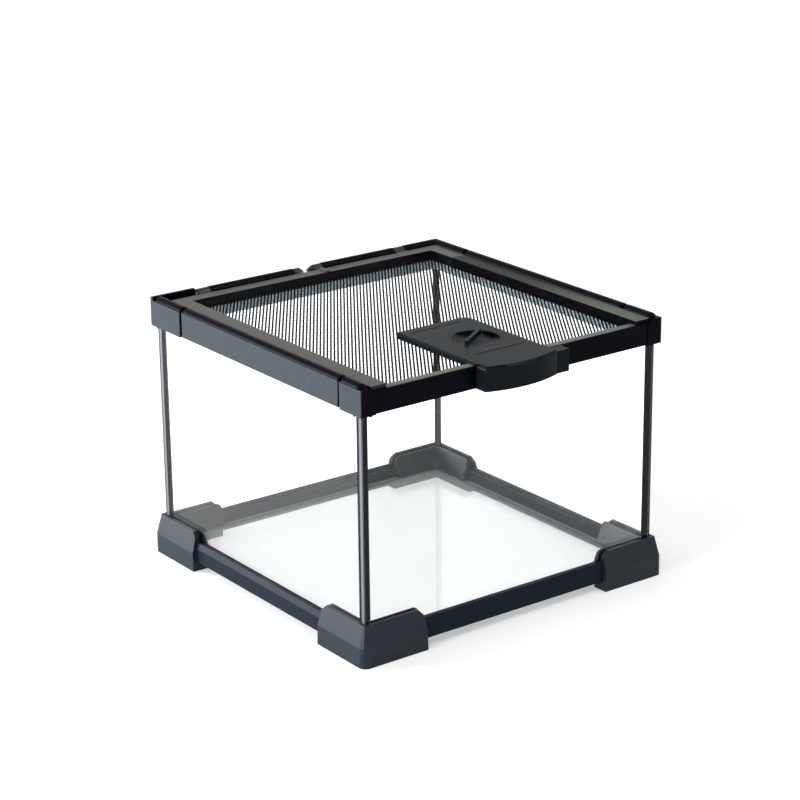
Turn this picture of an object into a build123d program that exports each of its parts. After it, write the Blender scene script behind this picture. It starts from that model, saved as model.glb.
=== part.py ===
from build123d import *
import os
from math import atan, cos, degrees, radians, sin

os.makedirs("parts", exist_ok=True)

# A small clear tank with black moulded feet, rails and a hinged mesh lid.
# Sizes are in millimetres. Z is up and the front is -Y. A "reach" is a distance outwards from
# the middle of the tank, and every one follows from the reach of the top corners. The pieces
# are modelled about the tank's middle and moved as they are saved.
tank_reach = 100.0

# Clear panels
panel_inset = 2.7
panel_thickness = 3.0
panel_height = 135.3
floor_thickness = 2.5
seat_gap = 0.2
floor_gap = 0.3
seal_joint = 0.4
seal_bead = 1.6
seal_throat = 0.53

# Base rails
base_bottom = 5.5
base_web = 1.5
base_wall = 2.9
base_face_top = 13.5
base_top = 16.8
base_bevel = 1.3
base_leg = 1.5
base_leg_top = 15.5
base_ledge = 4.0
butt_gap = 0.3

# Feet
foot_proud = 2.5
foot_leg = 41.7
foot_shoulder = 11.0
foot_top = 22.5
foot_draw = 3.1
foot_corner = 4.0
foot_depth = 9.5
foot_lean = 0.9
foot_lean_top = 19.3
foot_end_chamfer = 3.1
foot_wall = 1.2
foot_wall_drop = 0.5
foot_flare = 5.0
foot_wall_round = 2.5
foot_boss_radius = 2.6
foot_boss_tip_radius = 1.4
foot_boss_inset = 4.1
foot_boss_height = 4.2
foot_boss_crown = 1.2

# Fixed top frame
cap_proud = 0.4
channel_roof = 1.2
frame_skirt = 6.5
frame_leg = 7.5
cap_skirt = 6.9
side_wall = 6.1
front_wall = 4.3
front_lip = 0.9
rim_width = 6.6
shelf_width = 4.5
shelf_thickness = 1.5
bead_inset = 3.4
bead_rise = 5.2
bead_radius = 3.2
bead_tip_inset = 1.5
bead_end_chamfer = 0.6
seam_gap = 1.6
seam_depth = 0.8
slide_wall = 2.0
slide_wall_rise = 2.0
slide_drop = 3.5

# Legs of the top corners, along the sides and along the front and back
cap_leg_left_back = 30.0
cap_leg_right_back = 34.0
cap_leg_left_front = 18.5
cap_leg_right_front = 24.0
cap_leg_front = 9.5
cap_leg_back = 28.0

# Lid
lid_gap = 0.5
lid_back_gap = 2.0
lid_front_gap = 0.3
lid_rest = 0.3
lid_rise = 6.5
lid_bar = 9.5
lid_front_bar = 4.4
lid_leg_left_back = 22.5
lid_leg_right_back = 30.0
lid_leg_left_front = 12.9
lid_leg_right_front = 10.0
lid_leg_back = 31.0
lid_joiner_left = -6.0
lid_joiner_right = 15.6
joiner_rib_x = 9.0
joiner_rib_width = 2.4
joiner_rib_height = 0.8

# Hinge. A lug is given by its outer end, its shoulder and its tip.
pin_radius = 1.2
pin_fit = 0.05
finger_radius = 3.0
finger_fit = 0.1
finger_width = 7.4
finger_gap = 0.3
arm_drop = 1.9
left_lug = (-7.2, -2.7, -0.2)
right_lug = (12.3, 6.9, 3.2)
lug_tip_radius = 1.2
lug_gap = 0.5
lug_bore_depth = 0.7

# Mesh sheet
mesh_rise = 1.0
mesh_thickness = 0.5
mesh_turn = 35.0
mesh_pitch_across = 7.0
mesh_pitch_along = 21.6
mesh_grid_overrun = 1.5
slot_width = 3.5
slot_length = 19.8
groove_depth = 3.0
groove_gap = 0.1
mesh_edge_gap = 0.3
mesh_margin = 0.6

# Latch plate. A groove is given by its two ends and its distance from the plate's end.
plate_left = -27.2
plate_right = 20.3
plate_behind_lock = 34.0
plate_lift = 0.2
plate_thickness = 3.4
plate_corner_left = 0.8
plate_corner_right = 6.0
plate_chamfer = 0.6
neck_gap = 0.5
neck_lift = 0.3
lip_right = 29.0
lip_depth = 7.4
lip_bow = 4.5
lip_wall = 1.8
lip_chamfer = 1.1
lip_end_round = 2.6
wing_inset = 0.5
notch_right = -16.0
notch_depth = 1.0
notch_slant = 2.9
notch_drop = 0.9
wing_drop = 1.1
groove_width = 0.8
groove_cut = 0.6
back_groove = (-23.0, 11.7, 6.6)
front_groove = (-17.8, 16.5, 11.1)

# Lock
lock_setback = 28.0
knob_radius = 14.5
knob_gap = 0.2
knob_rim = 1.2
pocket_floor = 0.7
scoop_depth = 1.9
scoop_rib_depth = 1.0
scoop_low_point = 0.55
rib_width = 2.0
rib_height = 1.8
rib_offset = 1.5
rib_turn = 34.0
hub_radius = 5.0
hub_fit = 0.1
hub_mesh_gap = 0.6
tongue_end_gap = 1.0
tongue_width = 9.0
tongue_thickness = 2.2
boss_radius = 6.5
boss_gap = 0.3
screw_radius = 1.5
screw_fit = 0.05
screw_length = 7.0
screw_head_radius = 3.0
screw_head_height = 1.8
screw_slot = 0.8
keeper_gap = 0.6
keeper_thickness = 1.6
keeper_depth = 4.0
keeper_left = -7.0
keeper_right = 9.0
keeper_stop = 1.5
keeper_stop_drop = 4.3

# Reaches and lengths that follow from the sizes above
panel_reach = tank_reach - panel_inset
panel_inner = panel_reach - panel_thickness
channel_inner = panel_inner - seat_gap
channel_outer = panel_reach + seat_gap
wall_span = 2 * panel_reach
base_reach = panel_reach + base_wall
base_leg_reach = channel_inner - base_leg
ledge_reach = base_leg_reach - base_ledge
floor_reach = base_leg_reach - floor_gap
foot_reach = base_reach + foot_proud
foot_top_reach = foot_reach - foot_draw
foot_end = foot_reach - foot_leg
frame_reach = tank_reach - cap_proud
well_reach = frame_reach - rim_width
shelf_reach = well_reach - shelf_width
bead_reach = frame_reach - bead_inset
cap_left_back = tank_reach - cap_leg_left_back
cap_right_back = tank_reach - cap_leg_right_back
cap_left_front = cap_leg_left_front - tank_reach
cap_right_front = cap_leg_right_front - tank_reach
cap_front_leg = tank_reach - cap_leg_front
cap_back_leg = tank_reach - cap_leg_back
finger_outer = cap_back_leg
lid_reach = well_reach - lid_gap
lid_window = lid_reach - lid_bar
lid_back = well_reach - lid_back_gap
lid_front = lid_front_gap + front_lip - frame_reach
lid_left_back_seam = lid_reach - lid_leg_left_back
lid_right_back_seam = lid_reach - lid_leg_right_back
lid_left_front_seam = lid_leg_left_front - lid_reach
lid_right_front_seam = lid_leg_right_front - lid_reach
lid_back_seam = lid_reach - lid_leg_back
lock_y = lock_setback - well_reach
tongue_reach = lock_setback - tongue_end_gap
plate_back = lock_y + plate_behind_lock
neck_side = -frame_reach - neck_gap
lip_end = neck_side - lip_depth
lip_bulge = lip_end - lip_bow
wing_end = lip_end + wing_inset

# Heights that follow from the sizes above
base_web_top = base_bottom + base_web
floor_top = base_web_top + floor_thickness
foot_wall_top = foot_top - foot_wall_drop
panel_bottom = base_web_top + seat_gap
panel_top = panel_bottom + panel_height
channel_top = panel_top + seat_gap
frame_bottom = panel_top - frame_skirt
frame_leg_bottom = panel_top - frame_leg
cap_bottom = panel_top - cap_skirt
shelf_top = channel_top + channel_roof
shelf_bottom = shelf_top - shelf_thickness
frame_top = shelf_top + side_wall
front_top = shelf_top + front_wall
bead_height = shelf_top + bead_rise
slide_wall_top = frame_top + slide_wall_rise
slide_floor = bead_height - slide_drop
arm_bottom = bead_height - arm_drop
lid_bottom = shelf_top + lid_rest
lid_top = shelf_top + lid_rise
mesh_bottom = lid_bottom + mesh_rise
mesh_top = mesh_bottom + mesh_thickness
plate_bottom = mesh_top + plate_lift
plate_top = plate_bottom + plate_thickness
neck_bottom = front_top + neck_lift
lip_bottom = frame_bottom
wing_top = plate_top - wing_drop
knob_bottom = plate_bottom + pocket_floor + plate_lift
boss_top = mesh_bottom - boss_gap
keeper_bottom = shelf_top - keeper_thickness
keeper_stop_bottom = keeper_bottom - keeper_stop_drop
tongue_bottom = keeper_bottom - keeper_gap - tongue_thickness

# The origin is on the ground under the middle of the outer box, which takes in the lip
box_shift = (-lip_bulge - foot_reach) / 2


def section_plane(side, station):
    """Plane across one side: its x points outwards, its y up, and `station` is along the side."""
    outward = {"right": (1, 0, 0), "left": (-1, 0, 0), "back": (0, 1, 0), "front": (0, -1, 0)}[side]
    origin = (station, 0, 0) if side in ("back", "front") else (0, station, 0)
    return Plane(origin=origin, x_dir=outward, z_dir=(outward[1], -outward[0], 0))


def section(side, low, high, outline):
    """Profile of a bar on a side, placed at the end from which it is extruded."""
    station = low if side in ("back", "left") else high
    with BuildSketch(section_plane(side, station)) as profile:
        with BuildLine():
            Polyline(*outline, close=True)
        make_face()
    return profile.sketch


def save(piece, name):
    """Move a finished piece from the tank's middle to the shared origin and write it out."""
    placed = Pos(0, box_shift, 0) * piece.part
    placed.label = name
    export_step(placed, f"parts/{name}.step")


# Floor panel, lying on the ledge of the rails and feet
with BuildPart() as floor_panel:
    with BuildSketch(Plane.XY.offset(base_web_top)):
        Rectangle(2 * floor_reach, 2 * floor_reach)
    extrude(amount=floor_thickness)
save(floor_panel, "floor_panel")

# Wall panels: the front and back run the full width and the sides stand between them
side_span = 2 * (panel_inner - seal_joint)
wall_centre = panel_reach - panel_thickness / 2
wall_sizes = {
    "front_panel": (0, -wall_centre, wall_span, panel_thickness),
    "back_panel": (0, wall_centre, wall_span, panel_thickness),
    "left_panel": (-wall_centre, 0, panel_thickness, side_span),
    "right_panel": (wall_centre, 0, panel_thickness, side_span),
}
for name, (x, y, width, depth) in wall_sizes.items():
    with BuildPart() as wall_panel:
        with BuildSketch(Plane.XY.offset(panel_bottom)):
            with Locations((x, y)):
                Rectangle(width, depth)
        extrude(amount=panel_height)
    save(wall_panel, name)

# Corner seals: a thin joint between two panels and a hollow bead inside the corner
seal_bead_bottom = foot_top + seat_gap
seal_bead_top = frame_leg_bottom - seat_gap
corner_signs = {"front_left": (-1, -1), "front_right": (1, -1), "back_left": (-1, 1), "back_right": (1, 1)}
for name, (sx, sy) in corner_signs.items():
    joint_y = sy * (panel_inner - seal_joint / 2)
    with BuildPart() as corner_seal:
        with BuildSketch(Plane.XY.offset(panel_bottom)):
            with Locations((sx * wall_centre, joint_y)):
                Rectangle(panel_thickness, seal_joint)
        extrude(amount=panel_height)
        with BuildSketch(Plane.XY.offset(seal_bead_bottom)):
            with BuildLine():
                tip_x = (sx * (panel_inner - seal_bead), sy * panel_inner)
                tip_y = (sx * panel_inner, sy * (panel_inner - seal_bead))
                hollow = (sx * (panel_inner - seal_throat), sy * (panel_inner - seal_throat))
                Line((sx * panel_inner, sy * panel_inner), tip_x)
                ThreePointArc(tip_x, hollow, tip_y)
                Line(tip_y, (sx * panel_inner, sy * panel_inner))
            make_face()
        extrude(amount=seal_bead_top - seal_bead_bottom)
    save(corner_seal, f"corner_seal_{name}")

# Base rails: a channel for the wall panel with a ledge for the floor
base_outline = [
    (ledge_reach, base_bottom),
    (base_reach, base_bottom),
    (base_reach, base_face_top),
    (base_reach - base_bevel, base_top),
    (channel_outer, base_top),
    (channel_outer, base_web_top),
    (channel_inner, base_web_top),
    (channel_inner, base_leg_top),
    (base_leg_reach, base_leg_top),
    (base_leg_reach, base_web_top),
    (ledge_reach, base_web_top),
]
# The foot's end leans back as it rises, and the rail's end follows it
lean = foot_lean / foot_lean_top
rail_end = foot_end - butt_gap
rail_end_cut = [
    (rail_end, 0),
    (rail_end + lean * foot_top, foot_top),
    (rail_end + foot_leg, foot_top),
    (rail_end + foot_leg, 0),
]
with BuildPart() as base_rail:
    rail_half = rail_end + foot_lean
    extrude(section("right", -rail_half, rail_half, base_outline), amount=2 * rail_half)
    for end in (1, -1):
        with BuildSketch(Plane.YZ.offset(ledge_reach)):
            with BuildLine():
                Polyline(*[(end * y, z) for y, z in rail_end_cut], close=True)
            make_face()
        extrude(amount=foot_depth + foot_leg, mode=Mode.SUBTRACT)
for turn, name in enumerate(("right", "back", "left", "front")):
    with BuildPart() as turned_rail:
        add(base_rail.part, rotation=(0, 0, 90 * turn))
    save(turned_rail, f"base_rail_{name}")

# Feet: the outer walls of all four lie on one block whose faces draw in above the shoulder
foot_taper = degrees(atan((foot_reach - foot_top_reach) / (foot_top - foot_shoulder)))
with BuildPart() as foot_block:
    with BuildSketch():
        RectangleRounded(2 * foot_reach, 2 * foot_reach, foot_corner)
    extrude(amount=foot_shoulder)
    with BuildSketch(Plane.XY.offset(foot_shoulder)):
        RectangleRounded(2 * foot_reach, 2 * foot_reach, foot_corner)
    extrude(amount=foot_top - foot_shoulder, taper=foot_taper)

foot_slot_top = floor_top + floor_gap
foot_outline = [
    (foot_reach - foot_depth, 0),
    (foot_reach, 0),
    (foot_reach, foot_top),
    (channel_outer, foot_top),
    (channel_outer, base_web_top),
    (channel_inner, base_web_top),
    (channel_inner, foot_wall_top),
    (channel_inner - foot_wall, foot_wall_top),
    (channel_inner - foot_flare, foot_slot_top),
    (base_leg_reach, foot_slot_top),
    (base_leg_reach, base_web_top),
    (ledge_reach, base_web_top),
    (ledge_reach, base_bottom),
    (foot_reach - foot_depth, base_bottom),
]
# End shape seen square to a leg: a leaning end with a chamfered top outside, rounded inside
lean_end = foot_end + foot_lean
outer_end_cut = [
    (foot_end, 0),
    (lean_end, foot_lean_top),
    (lean_end + foot_end_chamfer, foot_top),
    (foot_end - foot_lean, foot_top),
    (foot_end - foot_lean, 0),
]
inner_end = foot_end + lean * (foot_wall_top - foot_wall_round)
with BuildPart() as foot:
    for side in ("right", "back"):
        extrude(section(side, foot_end, foot_reach, foot_outline), amount=foot_leg)
    add(foot_block.part, mode=Mode.INTERSECT)
    # A round boss with a sloped crown in the inner corner, just above the floor
    boss_place = channel_inner - foot_boss_inset
    seated = (Align.CENTER, Align.CENTER, Align.MIN)
    with Locations((boss_place, boss_place, foot_slot_top)):
        Cylinder(foot_boss_radius, foot_boss_height, align=seated)
    with Locations((boss_place, boss_place, foot_slot_top + foot_boss_height)):
        Cone(foot_boss_radius, foot_boss_tip_radius, foot_boss_crown, align=seated)
    for plane, outwards in ((Plane.YZ, 1), (Plane.XZ, -1)):
        with BuildSketch(plane.offset(outwards * channel_outer)):
            with BuildLine():
                Polyline(*outer_end_cut, close=True)
            make_face()
        extrude(amount=outwards * (foot_reach - channel_outer), mode=Mode.SUBTRACT)
        with BuildSketch(plane.offset(outwards * ledge_reach)):
            with BuildLine():
                Line((foot_end, 0), (inner_end, foot_wall_top - foot_wall_round))
                RadiusArc(
                    (inner_end, foot_wall_top - foot_wall_round),
                    (inner_end + foot_wall_round, foot_wall_top),
                    foot_wall_round,
                )
                Line((inner_end + foot_wall_round, foot_wall_top), (foot_end - foot_lean, foot_wall_top))
                Line((foot_end - foot_lean, foot_wall_top), (foot_end - foot_lean, 0))
                Line((foot_end - foot_lean, 0), (foot_end, 0))
            make_face()
        extrude(amount=outwards * (channel_outer - ledge_reach), mode=Mode.SUBTRACT)
    # The channels of the two panels run through to the corner, and the floor lies below the flare
    with BuildSketch(Plane.XY.offset(base_web_top)):
        with Locations((channel_outer, channel_outer)):
            Rectangle(foot_leg, channel_outer - channel_inner, align=(Align.MAX, Align.MAX))
            Rectangle(channel_outer - channel_inner, foot_leg, align=(Align.MAX, Align.MAX))
    extrude(amount=foot_top, mode=Mode.SUBTRACT)
    with BuildSketch(Plane.XY.offset(base_web_top)):
        with Locations((base_leg_reach, base_leg_reach)):
            Rectangle(foot_leg, foot_leg, align=(Align.MAX, Align.MAX))
    extrude(amount=foot_slot_top - base_web_top, mode=Mode.SUBTRACT)
for turn, name in enumerate(("back_right", "back_left", "front_left", "front_right")):
    with BuildPart() as turned_foot:
        add(foot.part, rotation=(0, 0, 90 * turn))
    save(turned_foot, f"foot_{name}")

# Fixed top frame: an inverted channel over the wall panels. Sides and back carry a round
# bead and an inner shelf for the lid; the front is lower, with a web that the lid rests on.
def frame_outline(skin, skirt):
    """Section of a side or back rail whose face reaches `skin` and hangs down to `skirt`."""
    return [
        (skin, skirt),
        (skin, frame_top),
        (bead_reach, frame_top),
        (well_reach, bead_height),
        (well_reach, shelf_top),
        (shelf_reach, shelf_top),
        (shelf_reach, shelf_bottom),
        (well_reach, shelf_bottom),
        (well_reach, frame_leg_bottom),
        (channel_inner, frame_leg_bottom),
        (channel_inner, channel_top),
        (channel_outer, channel_top),
        (channel_outer, skirt),
    ]


def front_outline(skin, skirt):
    """Section of the front rail, whose top is a web with a thin lip along its outer edge."""
    return [
        (skin, skirt),
        (skin, front_top),
        (frame_reach - front_lip, front_top),
        (frame_reach - front_lip, shelf_top),
        (well_reach, shelf_top),
        (well_reach, frame_leg_bottom),
        (channel_inner, frame_leg_bottom),
        (channel_inner, channel_top),
        (channel_outer, channel_top),
        (channel_outer, skirt),
    ]


def joiner_outline(skin, skirt):
    """Section of the back rail where the lid's knuckles turn: cut off level, with no bead."""
    return [
        (skin, skirt),
        (skin, slide_floor),
        (well_reach, slide_floor),
        *frame_outline(skin, skirt)[4:],
    ]


def bead_section(side, station):
    """Round section of the bead."""
    with BuildSketch(section_plane(side, station)) as profile:
        with Locations((bead_reach, bead_height)):
            Circle(bead_radius)
    return profile.sketch


def bead_bar(side, low, high):
    """Length of bead along the left or right side, with its ends chamfered."""
    with BuildPart(mode=Mode.PRIVATE) as bar:
        extrude(bead_section(side, low if side == "left" else high), amount=high - low)
        chamfer(bar.edges().filter_by(GeomType.CIRCLE), bead_end_chamfer)
    return bar.part


# A side rail ends in a short tongue, set back from its face, which shows as a dark seam
cap_reach = frame_reach + cap_proud
side_rails = {
    "left": (cap_left_front + butt_gap, cap_left_back - butt_gap),
    "right": (cap_right_front + butt_gap, cap_right_back - butt_gap),
}
for side, (low, high) in side_rails.items():
    face_low = low + seam_gap
    face_high = high - seam_gap
    with BuildPart() as top_rail:
        tongue = section(side, low, high, frame_outline(frame_reach - seam_depth, frame_bottom))
        extrude(tongue, amount=high - low)
        extrude(
            section(side, face_low, face_high, frame_outline(frame_reach, frame_bottom)),
            amount=face_high - face_low,
        )
        add(bead_bar(side, face_low, face_high))
    save(top_rail, f"top_rail_{side}")

front_half = cap_front_leg - butt_gap
with BuildPart() as top_rail_front:
    extrude(
        section("front", -front_half, front_half, front_outline(frame_reach, frame_bottom)),
        amount=2 * front_half,
    )
save(top_rail_front, "top_rail_front")

# Back rails: a bored bead between two knuckles of the lid, notched for the outer knuckle
notch_inner = finger_outer - finger_width - 2 * finger_gap
bead_left_end = left_lug[0] - lug_gap
bead_right_end = right_lug[0] + lug_gap
bore_radius = pin_radius + pin_fit
back_rails = {
    "left": (-cap_back_leg + butt_gap, bead_left_end, -notch_inner, bead_left_end),
    "right": (bead_right_end, cap_back_leg - butt_gap, bead_right_end, notch_inner),
}
for name, (low, high, bead_low, bead_high) in back_rails.items():
    with BuildPart() as top_rail_back:
        extrude(section("back", low, high, joiner_outline(frame_reach, frame_bottom)), amount=high - low)
        extrude(
            section("back", bead_low, bead_high, frame_outline(frame_reach, frame_bottom)),
            amount=bead_high - bead_low,
        )
        extrude(bead_section("back", bead_low), amount=bead_high - bead_low)
        with BuildSketch(section_plane("back", low)):
            with Locations((bead_reach, bead_height)):
                Circle(bore_radius)
        extrude(amount=high - low, mode=Mode.SUBTRACT)
    save(top_rail_back, f"top_rail_back_{name}")

joiner_low = bead_left_end + butt_gap
joiner_high = bead_right_end - butt_gap
with BuildPart() as back_joiner:
    extrude(
        section("back", joiner_low, joiner_high, joiner_outline(frame_reach, frame_bottom)),
        amount=joiner_high - joiner_low,
    )
save(back_joiner, "back_joiner")


def cut_panel_channels(sx, sy):
    """Clear both panel channels where the legs of a corner cross."""
    span = channel_outer - channel_inner
    depth = channel_top - frame_leg_bottom
    with BuildPart(mode=Mode.PRIVATE) as channels:
        with BuildSketch(Plane.XY.offset(frame_leg_bottom)):
            with Locations((sx * (channel_outer - foot_leg / 2), sy * (channel_outer - span / 2))):
                Rectangle(foot_leg, span)
            with Locations((sx * (channel_outer - span / 2), sy * (channel_outer - foot_leg / 2))):
                Rectangle(span, foot_leg)
        extrude(amount=depth)
    return channels.part


# Front corners: the side leg carries the bead, which ends in a dome above the front leg
dome_y = -frame_reach - cap_proud + bead_tip_inset + bead_radius
for side, seam in (("left", cap_left_front), ("right", cap_right_front)):
    sx = -1 if side == "left" else 1
    leg_ends = sorted((sx * cap_front_leg, sx * cap_reach))
    with BuildPart() as front_corner:
        extrude(
            section(side, -cap_reach, seam, frame_outline(cap_reach, cap_bottom)),
            amount=seam + cap_reach,
        )
        extrude(
            section("front", *leg_ends, front_outline(cap_reach, cap_bottom)),
            amount=cap_reach - cap_front_leg,
        )
        add(bead_bar(side, dome_y - bead_end_chamfer, seam))
        with Locations((sx * bead_reach, dome_y, bead_height)):
            Sphere(bead_radius)
        with BuildSketch(Plane.XY.offset(frame_leg_bottom)):
            with Locations((sx * (cap_front_leg + shelf_reach) / 2, -(cap_reach + well_reach) / 2)):
                Rectangle(cap_front_leg - shelf_reach, cap_reach - well_reach)
        extrude(amount=shelf_top - frame_leg_bottom, mode=Mode.SUBTRACT)
        add(cut_panel_channels(sx, -1), mode=Mode.SUBTRACT)
    save(front_corner, f"top_corner_front_{side}")

# Back right corner: the bead turns round it
with BuildPart() as top_corner_back_right:
    extrude(
        section("right", cap_right_back, cap_reach, frame_outline(cap_reach, cap_bottom)),
        amount=cap_reach - cap_right_back,
    )
    extrude(
        section("back", cap_back_leg, cap_reach, frame_outline(cap_reach, cap_bottom)),
        amount=cap_reach - cap_back_leg,
    )
    add(bead_bar("right", cap_right_back, bead_reach + bead_end_chamfer))
    extrude(bead_section("back", cap_back_leg), amount=bead_reach - cap_back_leg)
    with Locations((bead_reach, bead_reach, bead_height)):
        Sphere(bead_radius)
    add(cut_panel_channels(1, 1), mode=Mode.SUBTRACT)
save(top_corner_back_right, "top_corner_back_right")

# Back left corner: its back leg is an open slide, through which the hinge pin goes in
slide_outline = [
    (cap_reach, cap_bottom),
    (cap_reach, slide_wall_top),
    (cap_reach - slide_wall, slide_wall_top),
    (cap_reach - slide_wall, slide_floor),
    (well_reach, slide_floor),
    *frame_outline(cap_reach, cap_bottom)[4:],
]
left_dome_y = cap_reach - bead_tip_inset - bead_radius
with BuildPart() as top_corner_back_left:
    extrude(
        section("left", cap_left_back, cap_reach, frame_outline(cap_reach, cap_bottom)),
        amount=cap_reach - cap_left_back,
    )
    extrude(section("back", -cap_reach, -cap_back_leg, slide_outline), amount=cap_reach - cap_back_leg)
    add(bead_bar("left", cap_left_back, left_dome_y + bead_end_chamfer))
    with Locations((-bead_reach, left_dome_y, bead_height)):
        Sphere(bead_radius)
    add(cut_panel_channels(-1, 1), mode=Mode.SUBTRACT)
save(top_corner_back_left, "top_corner_back_left")

# Hinge pins, one on each side of the middle gap
pin_ends = {
    "left": (-finger_outer - lug_gap - finger_gap, left_lug[1] + lug_gap),
    "right": (right_lug[1] - lug_gap, finger_outer - butt_gap),
}
for name, (low, high) in pin_ends.items():
    with BuildPart() as hinge_pin:
        with BuildSketch(section_plane("back", low)):
            with Locations((bead_reach, bead_height)):
                Circle(pin_radius)
        extrude(amount=high - low)
    save(hinge_pin, f"hinge_pin_{name}")

# Keeper on the inner leg of the front rail, with a stop on the side away from the tongue
with BuildPart() as lock_keeper:
    with BuildSketch(Plane.XY.offset(keeper_bottom)):
        with Locations((keeper_left, -well_reach)):
            Rectangle(keeper_right - keeper_left, keeper_depth, align=(Align.MIN, Align.MIN))
    extrude(amount=shelf_top - keeper_bottom)
    with BuildSketch(Plane.XY.offset(keeper_stop_bottom)):
        with Locations((keeper_left, -well_reach)):
            Rectangle(keeper_stop, keeper_depth, align=(Align.MIN, Align.MIN))
    extrude(amount=keeper_bottom - keeper_stop_bottom)
save(lock_keeper, "lock_keeper")


# Lid frame: flat bars, each with a groove that holds the edge of the mesh sheet
def lid_outline(outer):
    """Section of a lid bar from the window's edge outwards, with the mesh groove cut in it."""
    groove_low = mesh_bottom - groove_gap
    groove_high = mesh_top + groove_gap
    groove_end = lid_window + groove_depth
    return [
        (lid_window, lid_bottom),
        (outer, lid_bottom),
        (outer, lid_top),
        (lid_window, lid_top),
        (lid_window, groove_high),
        (groove_end, groove_high),
        (groove_end, groove_low),
        (lid_window, groove_low),
    ]


front_bar_inner = -lid_front - lid_front_bar
front_bar_outline = [
    (front_bar_inner, lid_bottom),
    (-lid_front, lid_bottom),
    (-lid_front, front_top),
    (front_bar_inner, front_top),
    (front_bar_inner, mesh_top + groove_gap),
    (front_bar_inner + groove_depth, mesh_top + groove_gap),
    (front_bar_inner + groove_depth, mesh_bottom - groove_gap),
    (front_bar_inner, mesh_bottom - groove_gap),
]
lid_sides = {
    "left": (lid_left_front_seam + butt_gap, lid_left_back_seam - butt_gap),
    "right": (lid_right_front_seam + butt_gap, lid_right_back_seam - butt_gap),
}
for side, (low, high) in lid_sides.items():
    with BuildPart() as lid_rail:
        extrude(section(side, low, high, lid_outline(lid_reach)), amount=high - low)
    save(lid_rail, f"lid_rail_{side}")

front_bars = {
    "left": (-lid_window + butt_gap, plate_left - butt_gap),
    "right": (plate_right + butt_gap, lid_window - butt_gap),
}
for name, (low, high) in front_bars.items():
    with BuildPart() as lid_rail_front:
        extrude(section("front", low, high, front_bar_outline), amount=high - low)
    save(lid_rail_front, f"lid_rail_front_{name}")

back_bars = {
    "left": (-lid_back_seam + butt_gap, lid_joiner_left - butt_gap),
    "right": (lid_joiner_right + butt_gap, lid_back_seam - butt_gap),
}
for name, (low, high) in back_bars.items():
    with BuildPart() as lid_rail_back:
        extrude(section("back", low, high, lid_outline(lid_back)), amount=high - low)
    save(lid_rail_back, f"lid_rail_back_{name}")

# Front corners of the lid: plain blocks that rise above the low front bar
for side, seam in (("left", lid_left_front_seam), ("right", lid_right_front_seam)):
    with BuildPart() as lid_corner:
        extrude(section(side, lid_front, seam, lid_outline(lid_reach)), amount=seam - lid_front)
    save(lid_corner, f"lid_corner_front_{side}")

# Back corners of the lid, each with the outer knuckle of the hinge
knuckle_bore = pin_radius + finger_fit
arm_outline = [
    (lid_back, arm_bottom),
    (bead_reach, arm_bottom),
    (bead_reach, lid_top),
    (lid_back, lid_top),
]


def knuckle_section(station, radius):
    """Round section about the hinge axis, on a plane across the back."""
    with BuildSketch(section_plane("back", station)) as profile:
        with Locations((bead_reach, bead_height)):
            Circle(radius)
    return profile.sketch


for side, seam in (("left", lid_left_back_seam), ("right", lid_right_back_seam)):
    sx = -1 if side == "left" else 1
    low, high = sorted((sx * lid_back_seam, sx * lid_reach))
    knuckle_low, knuckle_high = sorted((sx * (finger_outer - finger_gap), sx * (notch_inner + finger_gap)))
    with BuildPart() as lid_corner:
        extrude(section(side, seam, lid_back, lid_outline(lid_reach)), amount=lid_back - seam)
        extrude(section("back", low, high, lid_outline(lid_back)), amount=high - low)
        with BuildSketch(Plane.XY.offset(mesh_bottom - groove_gap)):
            with Locations((sx * (lid_window + groove_depth), lid_window + groove_depth)):
                Rectangle(
                    lid_window,
                    lid_window,
                    align=(Align.MAX if sx > 0 else Align.MIN, Align.MAX),
                )
        extrude(amount=mesh_thickness + 2 * groove_gap, mode=Mode.SUBTRACT)
        extrude(
            section("back", knuckle_low, knuckle_high, arm_outline),
            amount=knuckle_high - knuckle_low,
        )
        extrude(knuckle_section(knuckle_low, finger_radius), amount=knuckle_high - knuckle_low)
        extrude(
            knuckle_section(knuckle_low, knuckle_bore),
            amount=knuckle_high - knuckle_low,
            mode=Mode.SUBTRACT,
        )
    save(lid_corner, f"lid_corner_back_{side}")

# Lid joiner: two lugs that taper towards the gap between them, and a rib across the bar
with BuildPart() as lid_joiner:
    extrude(
        section("back", lid_joiner_left, lid_joiner_right, lid_outline(lid_back)),
        amount=lid_joiner_right - lid_joiner_left,
    )
    for end, shoulder, tip in (left_lug, right_lug):
        axis_plane = Plane(origin=(0, bead_reach, bead_height), x_dir=(1, 0, 0), z_dir=(0, -1, 0))
        with BuildSketch(axis_plane):
            with BuildLine():
                Polyline(
                    (end, 0),
                    (end, finger_radius),
                    (shoulder, finger_radius),
                    (tip, lug_tip_radius),
                    (tip, 0),
                    close=True,
                )
            make_face()
        revolve(axis=Axis((0, bead_reach, bead_height), (1, 0, 0)))
        arm_low, arm_high = sorted((shoulder, max(end, lid_joiner_left) if end < 0 else end))
        extrude(section("back", arm_low, arm_high, arm_outline), amount=arm_high - arm_low)
        inwards = 1 if tip > shoulder else -1
        bore_low, bore_high = sorted((end, shoulder + inwards * lug_bore_depth))
        extrude(knuckle_section(bore_low, knuckle_bore), amount=bore_high - bore_low, mode=Mode.SUBTRACT)
    with BuildSketch(Plane.XY.offset(lid_top)):
        with Locations((joiner_rib_x, (lid_window + lid_back) / 2)):
            Rectangle(joiner_rib_width, lid_back - lid_window)
    extrude(amount=joiner_rib_height)
save(lid_joiner, "lid_joiner")

# Mesh sheet: one thin sheet with staggered slots that run at an angle to the sides
window_front = -front_bar_inner + mesh_margin
window_back = lid_window - mesh_margin
window_half = lid_window - mesh_margin
window_depth = window_back - window_front
window_middle = (window_back + window_front) / 2
turn = radians(mesh_turn)
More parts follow.
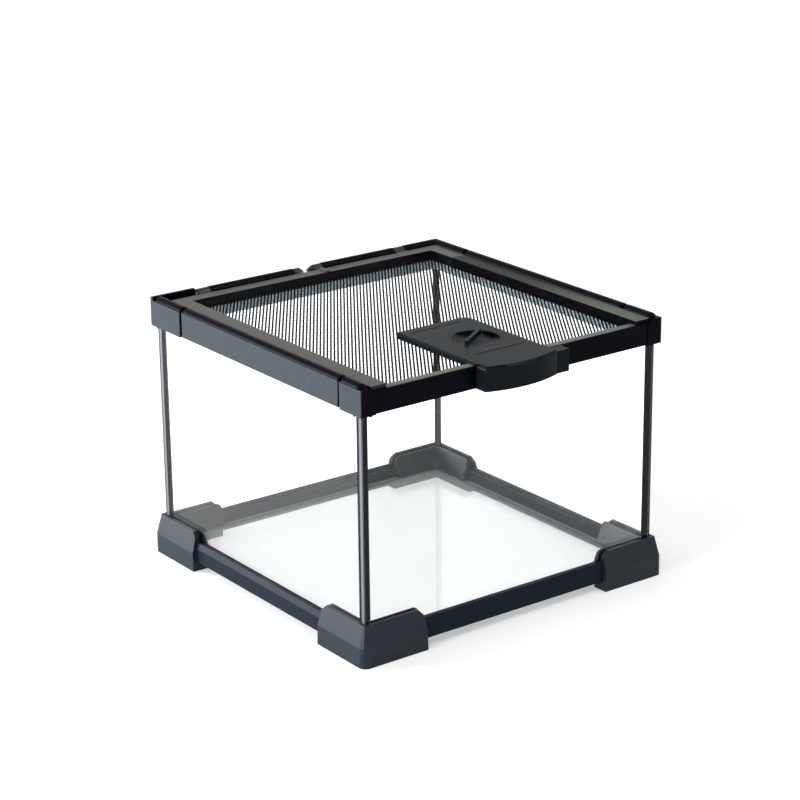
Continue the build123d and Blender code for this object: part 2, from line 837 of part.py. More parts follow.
# The grid is turned, so it has to overrun the window to fill its corners
columns = int(mesh_grid_overrun * window_depth / mesh_pitch_across)
rows = int(mesh_grid_overrun * window_depth / mesh_pitch_along)
hub_hole = hub_radius + hub_mesh_gap
with BuildSketch(Plane.XY.rotated((0, 0, -mesh_turn))) as slots:
    for shift in (0, 1):
        with Locations((shift * mesh_pitch_across, shift * mesh_pitch_along / 2)):
            with GridLocations(2 * mesh_pitch_across, mesh_pitch_along, columns // 2, rows):
                Rectangle(slot_width, slot_length)
    with Locations((-window_middle * sin(turn), window_middle * cos(turn))):
        Rectangle(2 * window_half, window_depth, rotation=mesh_turn, mode=Mode.INTERSECT)
    with Locations((-lock_y * sin(turn), lock_y * cos(turn))):
        Circle(boss_radius + hub_mesh_gap, mode=Mode.SUBTRACT)
whole_slots = [face for face in slots.sketch.faces() if face.area > slot_width**2]
sheet_half = lid_window + groove_depth - mesh_edge_gap
sheet_front = -front_bar_inner - groove_depth + mesh_edge_gap
with BuildPart() as lid_mesh:
    with BuildSketch(Plane.XY.offset(mesh_bottom)):
        with Locations((0, sheet_front)):
            Rectangle(2 * sheet_half, sheet_half - sheet_front, align=(Align.CENTER, Align.MIN))
        with Locations((0, lock_y)):
            Circle(hub_hole, mode=Mode.SUBTRACT)
        add(whole_slots, mode=Mode.SUBTRACT)
    extrude(amount=mesh_thickness)
print("slots in the mesh sheet:", len(whole_slots))
save(lid_mesh, "lid_mesh")

# Latch plate: a flat plate on the mesh that reaches over the front rail into a hollow lip
lip_middle = (plate_left + plate_right) / 2
with BuildPart() as latch_plate:
    with BuildSketch(Plane.XY.offset(plate_bottom)) as plate_plan:
        with Locations((plate_left, lid_front)):
            Rectangle(plate_right - plate_left, plate_back - lid_front, align=(Align.MIN, Align.MIN))
        fillet(plate_plan.vertices().group_by(Axis.Y)[-1].sort_by(Axis.X)[0], plate_corner_left)
        fillet(plate_plan.vertices().group_by(Axis.Y)[-1].sort_by(Axis.X)[-1], plate_corner_right)
    extrude(amount=plate_top - plate_bottom)
    chamfer(latch_plate.faces().sort_by(Axis.Z)[-1].edges(), plate_chamfer)
    with BuildSketch(Plane.XY.offset(neck_bottom)):
        with Locations((plate_left, neck_side)):
            Rectangle(
                plate_right - plate_left,
                lid_front - neck_side + plate_chamfer,
                align=(Align.MIN, Align.MIN),
            )
    extrude(amount=plate_top - neck_bottom)
    with BuildSketch(Plane.XY.offset(lip_bottom)):
        with BuildLine():
            Polyline(
                (plate_left, lip_end),
                (plate_left, neck_side),
                (plate_right, neck_side),
                (plate_right, lip_end),
            )
            ThreePointArc((plate_right, lip_end), (lip_middle, lip_bulge), (plate_left, lip_end))
        make_face()
    extrude(amount=plate_top - lip_bottom)
    top_edges = latch_plate.faces().sort_by(Axis.Z)[-1].edges()
    chamfer(top_edges.filter_by(GeomType.CIRCLE).sort_by(Axis.Y)[0], lip_chamfer)
    # The left-hand end of the lip is rounded off, with a shallow notch in its front edge
    with BuildSketch(Plane.XZ.offset(-neck_side)):
        with BuildLine():
            round_low = (plate_left, plate_top - lip_end_round)
            round_high = (plate_left + lip_end_round, plate_top)
            Polyline(round_low, (plate_left, plate_top), round_high)
            RadiusArc(round_high, round_low, -lip_end_round)
        make_face()
    extrude(amount=lip_depth + lip_bow, mode=Mode.SUBTRACT)
    with BuildSketch(Plane.XY.offset(plate_top - notch_drop)):
        with BuildLine():
            Polyline(
                (plate_left, lip_end + notch_depth),
                (notch_right, lip_end + notch_depth - notch_slant),
                (notch_right, lip_bulge),
                (plate_left, lip_bulge),
                close=True,
            )
        make_face()
    extrude(amount=notch_drop, mode=Mode.SUBTRACT)
    # On its right the lip has a straight wing, lower than the plate
    with BuildSketch(Plane.XY.offset(lip_bottom)):
        with Locations((plate_right, wing_end)):
            Rectangle(lip_right - plate_right, neck_side - wing_end, align=(Align.MIN, Align.MIN))
    extrude(amount=wing_top - lip_bottom)
    # Hollow behind the lip for the fingers
    with BuildSketch(Plane.XY.offset(lip_bottom)):
        with BuildLine():
            hollow_left = plate_left + lip_wall
            hollow_right = lip_right - lip_wall
            hollow_bow_end = plate_right - lip_wall
            hollow_end = lip_end + lip_wall
            Polyline(
                (hollow_left, hollow_end),
                (hollow_left, neck_side),
                (hollow_right, neck_side),
                (hollow_right, hollow_end),
                (hollow_bow_end, hollow_end),
            )
            ThreePointArc(
                (hollow_bow_end, hollow_end),
                (lip_middle, lip_bulge + lip_wall),
                (hollow_left, hollow_end),
            )
        make_face()
    extrude(amount=wing_top - lip_wall - lip_bottom, mode=Mode.SUBTRACT)
    # Round pocket for the knob, with a hole for its hub
    with BuildSketch(Plane.XY.offset(plate_bottom + pocket_floor)):
        with Locations((0, lock_y)):
            Circle(knob_radius + knob_gap)
    extrude(amount=plate_top, mode=Mode.SUBTRACT)
    with BuildSketch(Plane.XY.offset(plate_bottom)):
        with Locations((0, lock_y)):
            Circle(hub_radius + hub_fit)
    extrude(amount=pocket_floor, mode=Mode.SUBTRACT)
    # Two fine grooves in the top
    with BuildSketch(Plane.XY.offset(plate_top - groove_cut)):
        for (low, high, inset), plate_end, side in (
            (back_groove, plate_back, -1),
            (front_groove, lid_front, 1),
        ):
            with Locations(((low + high) / 2, plate_end + side * inset)):
                SlotOverall(high - low, groove_width)
    extrude(amount=groove_cut, mode=Mode.SUBTRACT)
save(latch_plate, "latch_plate")

# Lock knob: a disc on a hub that goes down through the mesh. A grip rib stands a little to
# one side of its middle, with a finger scoop on each side that is lowest towards the rim.
across = (-sin(radians(rib_turn)), cos(radians(rib_turn)), 0)
along = (cos(radians(rib_turn)), sin(radians(rib_turn)), 0)
dish_radius = knob_radius - knob_rim
with BuildPart() as scoops:
    for sign in (1, -1):
        outward = tuple(sign * value for value in across)
        facing = tuple(sign * value for value in along)
        rib_side = sign * rib_offset + rib_width / 2
        low_point = rib_side + scoop_low_point * (dish_radius - rib_side)
        with BuildSketch(Plane(origin=(0, lock_y, plate_top), x_dir=outward, z_dir=facing)):
            with BuildLine():
                Polyline((dish_radius, 0), (rib_side, 0), (rib_side, -scoop_rib_depth))
                ThreePointArc(
                    (rib_side, -scoop_rib_depth),
                    (low_point, -scoop_depth),
                    (dish_radius, 0),
                )
            make_face()
        extrude(amount=dish_radius, both=True)
    with BuildSketch(Plane.XY.offset(plate_bottom)):
        with Locations((0, lock_y)):
            Circle(dish_radius)
    extrude(amount=plate_thickness, mode=Mode.INTERSECT)
with BuildPart() as lock_knob:
    with BuildSketch(Plane.XY.offset(knob_bottom)):
        with Locations((0, lock_y)):
            Circle(knob_radius)
    extrude(amount=plate_top - knob_bottom)
    add(scoops.part, mode=Mode.SUBTRACT)
    with BuildSketch(Plane(origin=(0, lock_y, plate_top), x_dir=along, z_dir=(0, 0, 1))):
        with Locations((0, rib_offset)):
            SlotOverall(2 * dish_radius - rib_width, rib_width)
    extrude(amount=rib_height)
    with BuildSketch(Plane.XY.offset(boss_top)):
        with Locations((0, lock_y)):
            Circle(hub_radius)
    extrude(amount=knob_bottom - boss_top)
    with BuildSketch(Plane.XY.offset(boss_top)):
        with Locations((0, lock_y)):
            Circle(screw_radius + screw_fit)
    extrude(amount=screw_length - (boss_top - tongue_bottom) + screw_fit, mode=Mode.SUBTRACT)
save(lock_knob, "lock_knob")

# Lock tongue: a boss under the mesh with a flat arm, which points sideways when unlocked
with BuildPart() as lock_tongue:
    with BuildSketch(Plane.XY.offset(tongue_bottom)):
        with Locations((0, lock_y)):
            Circle(boss_radius)
    extrude(amount=boss_top - tongue_bottom)
    with BuildSketch(Plane.XY.offset(tongue_bottom)):
        with Locations((tongue_reach / 2 - tongue_width / 4, lock_y)):
            SlotOverall(tongue_reach + tongue_width / 2, tongue_width)
    extrude(amount=tongue_thickness)
    with BuildSketch(Plane.XY.offset(tongue_bottom)):
        with Locations((0, lock_y)):
            Circle(screw_radius + screw_fit)
    extrude(amount=boss_top - tongue_bottom, mode=Mode.SUBTRACT)
save(lock_tongue, "lock_tongue")

# Lock screw: a slotted pan head below the boss
with BuildPart() as lock_screw:
    with BuildSketch(Plane.XY.offset(tongue_bottom)):
        with Locations((0, lock_y)):
            Circle(screw_radius)
    extrude(amount=screw_length)
    with BuildSketch(Plane.XY.offset(tongue_bottom - screw_head_height)):
        with Locations((0, lock_y)):
            Circle(screw_head_radius)
    extrude(amount=screw_head_height)
    chamfer(lock_screw.edges().filter_by(GeomType.CIRCLE).sort_by(Axis.Z)[0], screw_slot / 2)
    with BuildSketch(Plane.XY.offset(tongue_bottom - screw_head_height)):
        with Locations((0, lock_y)):
            Rectangle(2 * screw_head_radius, screw_slot)
    extrude(amount=screw_slot, mode=Mode.SUBTRACT)
save(lock_screw, "lock_screw")
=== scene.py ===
from math import cos, radians, sin

import bmesh
import bpy
import numpy as np
from mathutils import Matrix, Vector


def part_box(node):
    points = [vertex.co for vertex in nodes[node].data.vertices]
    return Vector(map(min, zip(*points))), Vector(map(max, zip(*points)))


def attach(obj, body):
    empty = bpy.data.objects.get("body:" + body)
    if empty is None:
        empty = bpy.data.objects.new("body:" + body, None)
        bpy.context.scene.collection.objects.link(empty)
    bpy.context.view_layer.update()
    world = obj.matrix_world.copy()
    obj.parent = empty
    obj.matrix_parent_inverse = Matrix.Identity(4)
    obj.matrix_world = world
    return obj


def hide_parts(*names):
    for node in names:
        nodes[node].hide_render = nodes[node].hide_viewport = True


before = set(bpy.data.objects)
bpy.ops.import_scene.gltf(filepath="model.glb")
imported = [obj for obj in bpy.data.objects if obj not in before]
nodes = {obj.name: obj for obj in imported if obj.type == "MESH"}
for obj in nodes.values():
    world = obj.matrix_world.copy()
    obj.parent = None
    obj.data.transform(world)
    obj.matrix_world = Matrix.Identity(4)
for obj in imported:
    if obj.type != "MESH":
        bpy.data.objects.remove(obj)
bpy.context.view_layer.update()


# The corner seals: black sealant that bonds the clear panels to one another. It is squeezed
# into the joint, and a small hollow bead of it is wiped along the inside of each corner.
class Wire:
    """A socket in a material that takes part in sums, each of which adds a Math node."""

    def __init__(self, tree, socket):
        self.tree, self.socket = tree, socket

    def math(self, operation, first, second=None, third=None):
        """One Math node; each value is a Wire or a number."""
        sockets = {i: v for i, v in enumerate((first, second, third)) if v is not None}
        return node(self.tree, "ShaderNodeMath", {"operation": operation}, sockets)

    def __add__(self, other):
        return self.math("ADD", self, other)

    def __sub__(self, other):
        return self.math("SUBTRACT", self, other)

    def __rsub__(self, other):
        return self.math("SUBTRACT", other, self)

    def __mul__(self, other):
        return self.math("MULTIPLY", self, other)

    __radd__, __rmul__ = __add__, __mul__


def node(tree, kind, settings=None, sockets=None, output=0):
    """Add a node, set its settings and then its sockets, and give back one output."""
    made = tree.nodes.new(kind)
    for name, value in (settings or {}).items():
        setattr(made, name, value)
    for name, value in (sockets or {}).items():
        if isinstance(value, Wire):
            tree.links.new(value.socket, made.inputs[name])
        else:
            made.inputs[name].default_value = value
    return Wire(tree, made.outputs[output])


def finish_named(name):
    """A new material with only its output, and the point on the piece in metres."""
    material = bpy.data.materials.new(name)
    material.use_nodes = True
    tree = material.node_tree
    tree.nodes.clear()
    tree.nodes.new("ShaderNodeOutputMaterial")
    return material, tree, node(tree, "ShaderNodeTexCoord", output="Object")


def principled(tree, sockets):
    """A Principled surface with these sockets."""
    return node(tree, "ShaderNodeBsdfPrincipled", {}, sockets)


def put_on(tree, shader):
    """Join a shader to the material's output."""
    output = next(n for n in tree.nodes if n.bl_idname == "ShaderNodeOutputMaterial")
    tree.links.new(shader.socket, output.inputs["Surface"])


def surface(tree, sockets):
    """A Principled surface with these sockets, joined to the material's output."""
    put_on(tree, principled(tree, sockets))


def noise(tree, point, per_metre, detail):
    """Noise from 0 to 1 with this many blobs per metre."""
    return node(tree, "ShaderNodeTexNoise", {}, {"Vector": point, "Scale": per_metre, "Detail": detail})


def blend_colours(tree, amount, first, second):
    """Colour that goes from the first to the second as amount goes from 0 to 1."""
    sockets = {"Factor": amount, 6: first, 7: second}
    return node(tree, "ShaderNodeMix", {"data_type": "RGBA"}, sockets, output=2)


def sealant():
    """Black sealant: soft sheen, with slow waves from the finger that wiped it."""
    material, tree, point = finish_named("black_sealant")
    waves = noise(tree, point, 90.0, 2.0)
    bump = node(tree, "ShaderNodeBump", {}, {"Height": waves, "Strength": 0.25, "Distance": 0.0004})
    surface(
        tree,
        {
            "Base Color": blend_colours(tree, waves, (0.006, 0.006, 0.008, 1), (0.014, 0.014, 0.017, 1)),
            "Roughness": waves * 0.15 + 0.32,
            "Normal": bump,
        },
    )
    return material


def dress(names, material):
    """Give a finish to CAD nodes."""
    for name in names:
        nodes[name].data.materials.clear()
        nodes[name].data.materials.append(material)


corners = ("front_left", "front_right", "back_left", "back_right")
dress([f"corner_seal_{corner}" for corner in corners], sealant())


# The wall panels: polished clear sheet, 3 mm thick, cut square. The front and back run the
# full width and cover the ends of the side panels, with black sealant between them. Their cut
# ends are painted pale grey as painted light, with a dark strip of painted shade at the outer
# corner, and the side panels have a dark strip of painted shade beside the seams.
glass_low, glass_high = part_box("front_panel")
tank_middle = (glass_low.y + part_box("back_panel")[1].y) / 2
outer_skin = 0.00005
# Widths of the dark strips of painted shade over the cut ends and beside the seams.
end_shade_width, seam_shade_width = 0.0011, 0.0016


def clear_shader(tree, point):
    """Clear sheet with the faintest cool tint. Its index is under that of real acrylic (1.49), so
    that a white room leaves only a weak veil on the pieces behind it."""
    haze = noise(tree, point, 14.0, 3.0)
    return principled(
        tree,
        {
            "Base Color": blend_colours(tree, haze, (0.965, 0.98, 0.985, 1), (0.98, 0.99, 0.99, 1)),
            "Roughness": haze * 0.006,
            "IOR": 1.28,
            "Transmission Weight": 1.0,
        },
    )


def along(tree, point, axis):
    """One coordinate of a point: 0, 1 or 2 for x, y or z."""
    return node(tree, "ShaderNodeSeparateXYZ", {}, {0: point}, output=axis)


def off_middle(tree, point):
    """How far a point is from the tank's middle, to the side and to the front or back."""
    across, depth = along(tree, point, 0), along(tree, point, 1) - tank_middle
    return across.math("ABSOLUTE", across), depth.math("ABSOLUTE", depth)


def above(value, limit):
    """1 where a value is over a limit, and 0 elsewhere."""
    return value.math("GREATER_THAN", value, limit)


def mix_shaders(tree, amount, first, second):
    """Shader that goes from the first to the second as amount goes from 0 to 1."""
    return node(tree, "ShaderNodeMixShader", {}, {0: amount, 1: first, 2: second})


def side_sheet():
    """Clear sheet whose outer face has a dark strip of painted shade along the seam with the front or
    back.
    """
    material, tree, point = finish_named("side_sheet")
    across, depth = off_middle(tree, point)
    streaks = noise(tree, point, 700.0, 2.0)
    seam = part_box("left_panel")[1].y - tank_middle
    beside_seam = above(depth + streaks * 0.0003, seam - seam_shade_width)
    # Painted shade: a dark sheet on the outer face beside the seam.
    overlay_shader = principled(
        tree,
        {
            "Base Color": blend_colours(tree, streaks, (0.004, 0.004, 0.006, 1), (0.01, 0.01, 0.013, 1)),
            "Roughness": streaks * 0.15 + 0.4,
            "Specular IOR Level": 0.1,
        },
    )
    painted_shade_strip = above(across, glass_high.x - outer_skin) * beside_seam
    put_on(tree, mix_shaders(tree, painted_shade_strip, clear_shader(tree, point), overlay_shader))
    return material


def end_cut_sheet():
    """Clear sheet whose cut ends are painted pale grey as painted light, with a dark strip of painted
    shade at the outer corner.
    """
    material, tree, point = finish_named("end_cut_sheet")
    across, depth = off_middle(tree, point)
    streaks = noise(tree, point, 700.0, 2.0)
    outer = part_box("back_panel")[1].y - tank_middle
    painted_shade_strip = above(depth + streaks * 0.0002, outer - end_shade_width)
    # Painted light and shade: the cut end is pale grey, and dark at the outer corner.
    painted_end = principled(
        tree,
        {
            "Base Color": blend_colours(tree, painted_shade_strip, (0.12, 0.125, 0.15, 1), (0.005, 0.005, 0.009, 1)),
            "Roughness": streaks * 0.15 + 0.3,
        },
    )
    ends = above(across, glass_high.x - outer_skin)
    put_on(tree, mix_shaders(tree, ends, clear_shader(tree, point), painted_end))
    return material


dress(["left_panel", "right_panel"], side_sheet())
dress(["front_panel", "back_panel"], end_cut_sheet())


# The floor panel: the same clear sheet with a thin milky film on it, as it lies on the ledges
# of the rails and feet. The ledges and the ground show through it, paled by the film.
def filmed_sheet():
    """Clear sheet under a milky film, slightly uneven in thickness."""
    material, tree, point = finish_named("filmed_sheet")
    cloud = noise(tree, point, 22.0, 3.0)
    overlay_shader = principled(
        tree,
        {
            "Base Color": blend_colours(tree, cloud, (0.93, 0.94, 0.94, 1), (0.96, 0.965, 0.96, 1)),
            "Roughness": cloud * 0.1 + 0.5,
            "Specular IOR Level": 0.0,
        },
    )
    put_on(tree, mix_shaders(tree, cloud * 0.05 + 0.18, clear_shader(tree, point), overlay_shader))
    return material


dress(["floor_panel"], filmed_sheet())


# The black mouldings at the bottom: feet and base rails, injection moulded in a satin black
# plastic with slightly rounded edges and a hardly visible grain.
edge_rounding = 0.0004
grain_depth = 0.00002


def rounded_edges(tree):
    """Normals that make sharp edges look slightly rounded."""
    return node(tree, "ShaderNodeBevel", {"samples": 6}, {"Radius": edge_rounding})


def fine_grain(tree, point):
    """Normals with rounded edges and the grain of the mould."""
    return node(
        tree,
        "ShaderNodeBump",
        {},
        {
            "Height": noise(tree, point, 2600.0, 2.0),
            "Strength": 0.12,
            "Distance": grain_depth,
            "Normal": rounded_edges(tree),
        },
    )


def flow_marks(tree, point):
    """Slow clouds from 0 to 1, where the plastic flowed in the mould."""
    return noise(tree, point, 45.0, 3.0)


def black_moulding(name, darkest, palest, roughness, gloss):
    """Satin plastic of one black all over, which varies a little with the flow marks."""
    material, tree, point = finish_named(name)
    flow = flow_marks(tree, point)
    surface(
        tree,
        {
            "Base Color": blend_colours(tree, flow, darkest, palest),
            "Roughness": flow * 0.08 + roughness,
            "Specular IOR Level": gloss,
            "Normal": fine_grain(tree, point),
        },
    )
    return material


dress(
    [f"foot_{corner}" for corner in corners],
    black_moulding("foot_black", (0.006, 0.012, 0.019, 1), (0.009, 0.016, 0.024, 1), 0.34, 0.22),
)
dress(
    [f"base_rail_{side}" for side in ("front", "back", "left", "right")],
    black_moulding("rail_black", (0.005, 0.01, 0.018, 1), (0.008, 0.014, 0.022, 1), 0.3, 0.06),
)

# The fixed top frame: corners and rails of the same plastic, pushed down over the panels.
# Its left and right faces have a fine matt texture from the mould and a paler colour that is
# painted sheen, the inner faces of the legs under the shelf carry a pale painted reflection,
# and the rest is smooth.
frame_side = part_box("top_rail_right")[1].x
leg_face, shelf_underside = 0.0931, 0.1424
face_skin = 0.0001


def frame_moulding():
    """Deep black, with side faces that are matt and painted paler as a painted sheen, and a pale painted
    reflection inside on the legs under the shelf.
    """
    material, tree, point = finish_named("frame_black")
    across, depth = off_middle(tree, point)
    height = along(tree, point, 2)
    flow = flow_marks(tree, point)
    # Painted sheen: the side faces are given a paler colour as well as a rougher finish.
    side_matt_and_sheen = above(across, frame_side - face_skin) * (noise(tree, point, 260.0, 3.0) * 0.3 + 0.7)
    outwards = across.math("MAXIMUM", across, depth)
    # Painted reflection: the inner faces of the legs under the shelf are given a pale blue-grey.
    leg_reflection = (1 - above(outwards, leg_face)) * (1 - above(height, shelf_underside - face_skin))
    smooth = blend_colours(tree, flow, (0.0005, 0.0012, 0.0035, 1), (0.0015, 0.0025, 0.005, 1))
    with_side_sheen = blend_colours(tree, side_matt_and_sheen, smooth, (0.052, 0.061, 0.07, 1))
    surface(
        tree,
        {
            "Base Color": blend_colours(tree, leg_reflection, with_side_sheen, (0.42, 0.5, 0.55, 1)),
            "Roughness": side_matt_and_sheen * 0.2 + flow * 0.08 + 0.26,
            "Specular IOR Level": 0.03,
            "Normal": fine_grain(tree, point),
        },
    )
    return material


dress(
    [f"top_corner_{corner}" for corner in corners]
    + ["top_rail_front", "top_rail_left", "top_rail_right"]
    + ["top_rail_back_left", "top_rail_back_right", "back_joiner", "lock_keeper"],
    frame_moulding(),
)

# The lid frame: bars and corners of the same black plastic, clipped together around the mesh.
# Their tops carry a painted sheen, paler and browner than the walls, and on the front bars, the right bar
# and the front right corner it grows paler towards the front.
lid_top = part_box("lid_rail_left")[1].z
low_bar_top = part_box("lid_rail_front_left")[1].z
plain_top_sheen = (0.018, 0.0185, 0.0145, 1)
front_sheen_per_metre = 14.0


def lid_moulding(name, top, gloss, front_top_sheen):
    """Black plastic whose top faces carry a painted sheen, a little paler and browner than its
    walls, which on some bars grows paler towards the front."""
    material, tree, point = finish_named(name)
    # Painted sheen: top faces get a paler, browner colour, and on some bars a paler one towards the
    # front.
    painted_top_sheen = above(along(tree, point, 2), top - face_skin)
    sheen_towards_front = (tank_middle - along(tree, point, 1)) * front_sheen_per_metre
    top_sheen_colour = blend_colours(tree, sheen_towards_front, plain_top_sheen, front_top_sheen)
    surface(
        tree,
        {
            "Base Color": blend_colours(tree, painted_top_sheen, (0.0015, 0.002, 0.0035, 1), top_sheen_colour),
            "Roughness": flow_marks(tree, point) * 0.08 + 0.26,
            "Specular IOR Level": gloss,
            "Normal": rounded_edges(tree),
        },
    )
    return material


dress(
    ["lid_corner_front_left", "lid_corner_back_left", "lid_corner_back_right"]
    + ["lid_rail_left", "lid_rail_back_left", "lid_rail_back_right", "lid_joiner"],
    lid_moulding("lid_black", lid_top, 0.24, plain_top_sheen),
)
dress(
    ["lid_rail_front_left", "lid_rail_front_right"],
    lid_moulding("lid_front_black", low_bar_top, 0.1, (0.11, 0.12, 0.095, 1)),
)
dress(
    ["lid_rail_right", "lid_corner_front_right"],
    lid_moulding("lid_sheened_black", lid_top, 0.03, (0.11, 0.12, 0.1, 1)),
)

# The latch: a plate that carries the lock, with a lip for the fingers, and the knob and
# tongue that turn in it. They are black plastic with a satin top.
dress(
    ["latch_plate", "lock_knob", "lock_tongue"],
    black_moulding("latch_black", (0.003, 0.005, 0.008, 1), (0.006, 0.009, 0.012, 1), 0.3, 0.05),
)


# The hinge pins and the lock's screw: plain drawn steel, with fine lines along the wire.
# The pins lie in the bead at the back, and the screw holds the tongue to the knob.
def drawn_steel():
    """Bare steel with fine streaks along X, the way that the wire was drawn."""
    material, tree, point = finish_named("drawn_steel")
    stretched = node(tree, "ShaderNodeMapping", {}, {"Vector": point, "Scale": (60.0, 4000.0, 4000.0)})
    streaks = noise(tree, stretched, 1.0, 2.0)
    surface(
        tree,
        {
            "Base Color": blend_colours(tree, streaks, (0.5, 0.5, 0.51, 1), (0.62, 0.62, 0.63, 1)),
            "Metallic": 1.0,
            "Roughness": streaks * 0.15 + 0.24,
        },
    )
    return material


dress(["hinge_pin_left", "hinge_pin_right", "lock_screw"], drawn_steel())


# The mesh of the lid: one thin black coated sheet with rows of staggered slots, which run at
# an angle to the sides. Its edges are held in the grooves of the lid's bars.
low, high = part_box("lid_mesh")
row_pitch, bar_width = 0.00186, 0.00102
slot_pitch, tie_width = 0.0112, 0.0003
sheet_thickness = 0.00014
row_turn = radians(35.0)
hub = np.array([0.0, -0.06035])
hub_clearance = 0.0054


def slotted_sheet():
    """Grid in (u, v): u = along a row, v = across the rows. A cell is solid where v mod the row
    pitch is below the bar's width, or where u mod the slot pitch is in a tie, and the ties of
    every second row are half a slot pitch further on. Turned, x = u sin t + v cos t and
    y = u cos t - v sin t. Cells near the lock's hub and well outside the lid are left out."""
    middle = np.array([(low.x + high.x) / 2, (low.y + high.y) / 2])
    reach = np.hypot(high.x - low.x, high.y - low.y) / 2
    periods = int(2 * reach / slot_pitch) + 2
    rows = int(2 * reach / row_pitch) + 2
    half = slot_pitch / 2
    steps = np.array([0.0, tie_width, half, half + tie_width])
    u = (np.arange(periods)[:, None] * slot_pitch + steps).ravel() - periods * slot_pitch / 2
    v = (np.arange(rows)[:, None] * row_pitch + np.array([0.0, bar_width])).ravel() - rows * row_pitch / 2
    columns, lines = len(u) - 1, len(v) - 1
    i, j = np.meshgrid(np.arange(columns), np.arange(lines), indexing="ij")
    tie = np.where((j // 2) % 2 == 0, i % 4 == 0, i % 4 == 2)
    solid = (j % 2 == 0) | tie
    x = u[:, None] * sin(row_turn) + v[None, :] * cos(row_turn) + middle[0]
    y = u[:, None] * cos(row_turn) - v[None, :] * sin(row_turn) + middle[1]
    away = np.hypot(x - hub[0], y - hub[1])
    corner_away = np.minimum.reduce([away[:-1, :-1], away[1:, :-1], away[:-1, 1:], away[1:, 1:]])
    x_mid, y_mid = (x[:-1, :-1] + x[1:, 1:]) / 2, (y[:-1, :-1] + y[1:, 1:]) / 2
    solid &= corner_away > hub_clearance
    solid &= np.abs(x_mid - middle[0]) < (high.x - low.x) / 2 + slot_pitch
    solid &= np.abs(y_mid - middle[1]) < (high.y - low.y) / 2 + slot_pitch
    count = x.size
    index = np.arange(count).reshape(x.shape)
    z_low = (low.z + high.z) / 2 - sheet_thickness / 2
    points = np.concatenate(
        [
            np.stack([x.ravel(), y.ravel(), np.full(count, z_low + sheet_thickness)], 1),
            np.stack([x.ravel(), y.ravel(), np.full(count, z_low)], 1),
        ]
    )
    a, b = index[:-1, :-1][solid], index[1:, :-1][solid]
    c, d = index[1:, 1:][solid], index[:-1, 1:][solid]
    faces = [np.stack([b, c, d, a], 1), np.stack([d, c, b, a], 1) + count]
    padded = np.pad(solid, 1)
    for di, dj, p, q in ((-1, 0, a, d), (1, 0, c, b), (0, -1, b, a), (0, 1, d, c)):
        open_side = ~padded[1 + di : 1 + di + columns, 1 + dj : 1 + dj + lines][solid]
        p, q = p[open_side], q[open_side]
        faces.append(np.stack([p, q, q + count, p + count], 1))
    return points, np.concatenate(faces)


def sheet_piece(name, points, faces):
    """Mesh object from points and faces, without the points that no face uses."""
    used, packed = np.unique(faces, return_inverse=True)
    mesh = bpy.data.meshes.new(name)
    mesh.from_pydata(points[used].tolist(), [], packed.reshape(faces.shape).tolist())
    piece = bpy.data.objects.new(name, mesh)
    bpy.context.scene.collection.objects.link(piece)
    return piece


mesh_sheet = sheet_piece("mesh_sheet", *slotted_sheet())
cutting = bmesh.new()
cutting.from_mesh(mesh_sheet.data)
for edge_point, outwards in (
    ((low.x, 0, 0), (-1, 0, 0)),
    ((high.x, 0, 0), (1, 0, 0)),
    ((0, low.y, 0), (0, -1, 0)),
    ((0, high.y, 0), (0, 1, 0)),
):
    cut = bmesh.ops.bisect_plane(
        cutting,
        geom=cutting.verts[:] + cutting.edges[:] + cutting.faces[:],
        plane_co=edge_point,
        plane_no=outwards,
        clear_outer=True,
    )
    rim = [e for e in cut["geom_cut"] if isinstance(e, bmesh.types.BMEdge) and e.is_boundary]
    bmesh.ops.holes_fill(cutting, edges=rim, sides=0)
bmesh.ops.recalc_face_normals(cutting, faces=cutting.faces[:])
cutting.to_mesh(mesh_sheet.data)
cutting.free()


def coated_metal():
    """Thin black coating on metal: satin, a little rough where it pooled at the slots."""
    material, tree, point = finish_named("coated_metal")
    pooled = noise(tree, point, 900.0, 2.0)
    surface(
        tree,
        {
            "Base Color": blend_colours(tree, pooled, (0.004, 0.004, 0.005, 1), (0.008, 0.008, 0.01, 1)),
            "Roughness": pooled * 0.15 + 0.5,
            "Specular IOR Level": 0.02,
        },
    )
    return material


mesh_sheet.data.materials.append(coated_metal())
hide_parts("lid_mesh")
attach(mesh_sheet, "lid")


# The ground: a white sweep that keeps the soft shadow under the feet. It is wide enough to
# fill the view from every side.
def plain_views(tree):
    """1 for rays from the camera, through glass or off gloss, and 1 for those through glass alone."""
    path = tree.nodes.new("ShaderNodeLightPath")
    kinds = ("Is Camera Ray", "Is Glossy Ray", "Is Transmission Ray")
    straight, mirrored, through_glass = (Wire(tree, path.outputs[kind]) for kind in kinds)
    seen = straight.math("MAXIMUM", straight, mirrored)
    return seen.math("MAXIMUM", seen, through_glass), through_glass


def white_ground():
    """White ground, lifted to pure white for rays that look at it straight, in glass or in gloss,
    and more so far away, where the lamps don't reach it."""
    material, tree, point = finish_named("white_ground")
    distance = node(tree, "ShaderNodeVectorMath", {"operation": "LENGTH"}, {0: point}, output="Value")
    far_away = node(tree, "ShaderNodeMapRange", {}, {"Value": distance, "From Min": 0.6, "From Max": 3.0})
    seen, through_glass = plain_views(tree)
    glowing = seen * (far_away * 0.25 + 0.36) + through_glass * 0.48
    white = node(tree, "ShaderNodeBsdfDiffuse", {}, {"Color": (0.82, 0.82, 0.815, 1)})
    lift = node(tree, "ShaderNodeEmission", {}, {"Color": (1, 1, 1, 1), "Strength": glowing})
    put_on(tree, node(tree, "ShaderNodeAddShader", {}, {0: white, 1: lift}))
    return material


ground_half = 6.0
ground_corners = [(x * ground_half, y * ground_half, 0) for x, y in ((-1, -1), (1, -1), (1, 1), (-1, 1))]
ground_mesh = bpy.data.meshes.new("ground")
ground_mesh.from_pydata(ground_corners, [], [(0, 1, 2, 3)])
ground_mesh.materials.append(white_ground())
ground = bpy.data.objects.new("ground", ground_mesh)
bpy.context.scene.collection.objects.link(ground)

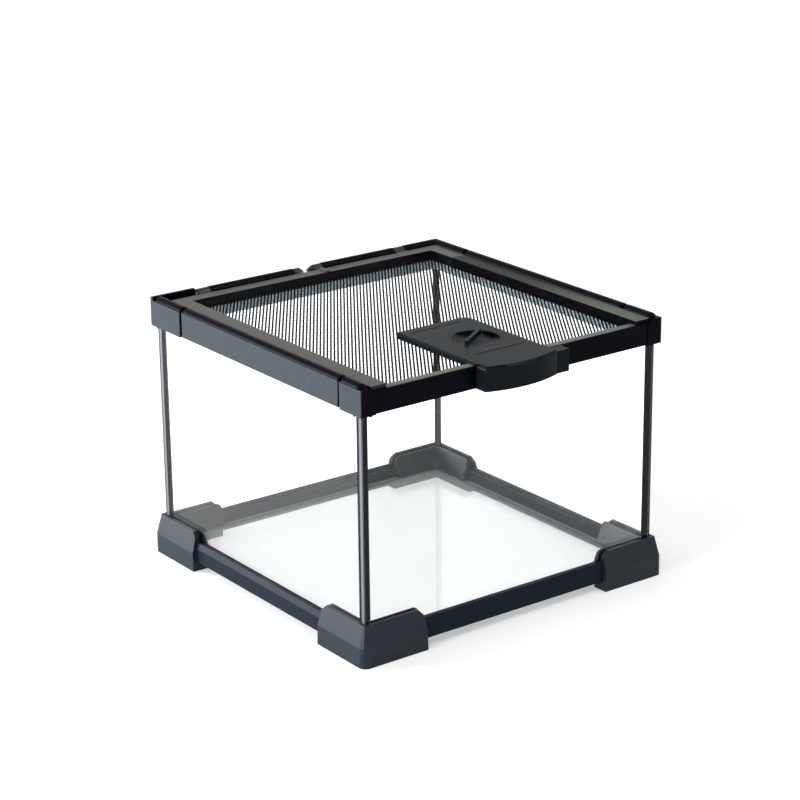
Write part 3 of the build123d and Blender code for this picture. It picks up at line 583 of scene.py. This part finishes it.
# The light: a pale room that is seen as plain white, a broad cool lamp low at the back left
# that skims the left side, and two small bright ones for the highlights.
room_light = 0.6
world = bpy.data.worlds.new("pale_room")
bpy.context.scene.world = world
world.use_nodes = True
room = world.node_tree
room.nodes.clear()
strength = plain_views(room)[0] * (1.0 - room_light) + room_light
background = node(room, "ShaderNodeBackground", {}, {"Color": (1, 1, 1, 1), "Strength": strength})
room_output = room.nodes.new("ShaderNodeOutputWorld")
room.links.new(background.socket, room_output.inputs["Surface"])


def soft_lamp(name, direction, distance, width, brightness, colour):
    """Square soft lamp that shines from a direction at the tank, as bright as its face looks."""
    light = bpy.data.lights.new(name, "AREA")
    light.size, light.energy, light.color = width, brightness * 4 * width**2, colour
    lamp = bpy.data.objects.new(name, light)
    centre = Vector((0, 0, 0.08))
    away = Vector(direction).normalized()
    lamp.location = centre + away * distance
    lamp.rotation_euler = (-away).to_track_quat("-Z", "Y").to_euler()
    bpy.context.scene.collection.objects.link(lamp)


soft_lamp("lamp_back_left", (-0.74, 0.64, 0.2), 1.5, 0.9, 11.0, (0.93, 0.98, 1.0))
soft_lamp("lamp_left", (-0.97, -0.21, 0.122), 1.6, 0.4, 28.0, (0.96, 0.98, 1.0))
soft_lamp("lamp_right", (0.436, -0.461, 0.773), 1.6, 0.3, 12.0, (1.0, 0.99, 0.97))

# The camera stands in front of the tank to the left, a little above it, and leans by a
# fraction of a degree.
camera_data = bpy.data.cameras.new("camera")
camera_data.sensor_width = 36.0
camera_data.lens = 110.913
camera_data.clip_start, camera_data.clip_end = 0.05, 30.0
camera = bpy.data.objects.new("camera", camera_data)
place, aim = Vector((-0.7669, -1.03425, 0.5435)), Vector((0.027672, 0.045191, 0.08))
lean = radians(-0.64)
turned = (aim - place).to_track_quat("-Z", "Y").to_matrix().to_4x4()
camera.matrix_world = Matrix.Translation(place) @ turned @ Matrix.Rotation(lean, 4, "Z")
bpy.context.scene.collection.objects.link(camera)
bpy.context.scene.camera = camera
bpy.context.scene.view_settings.view_transform = "Standard"
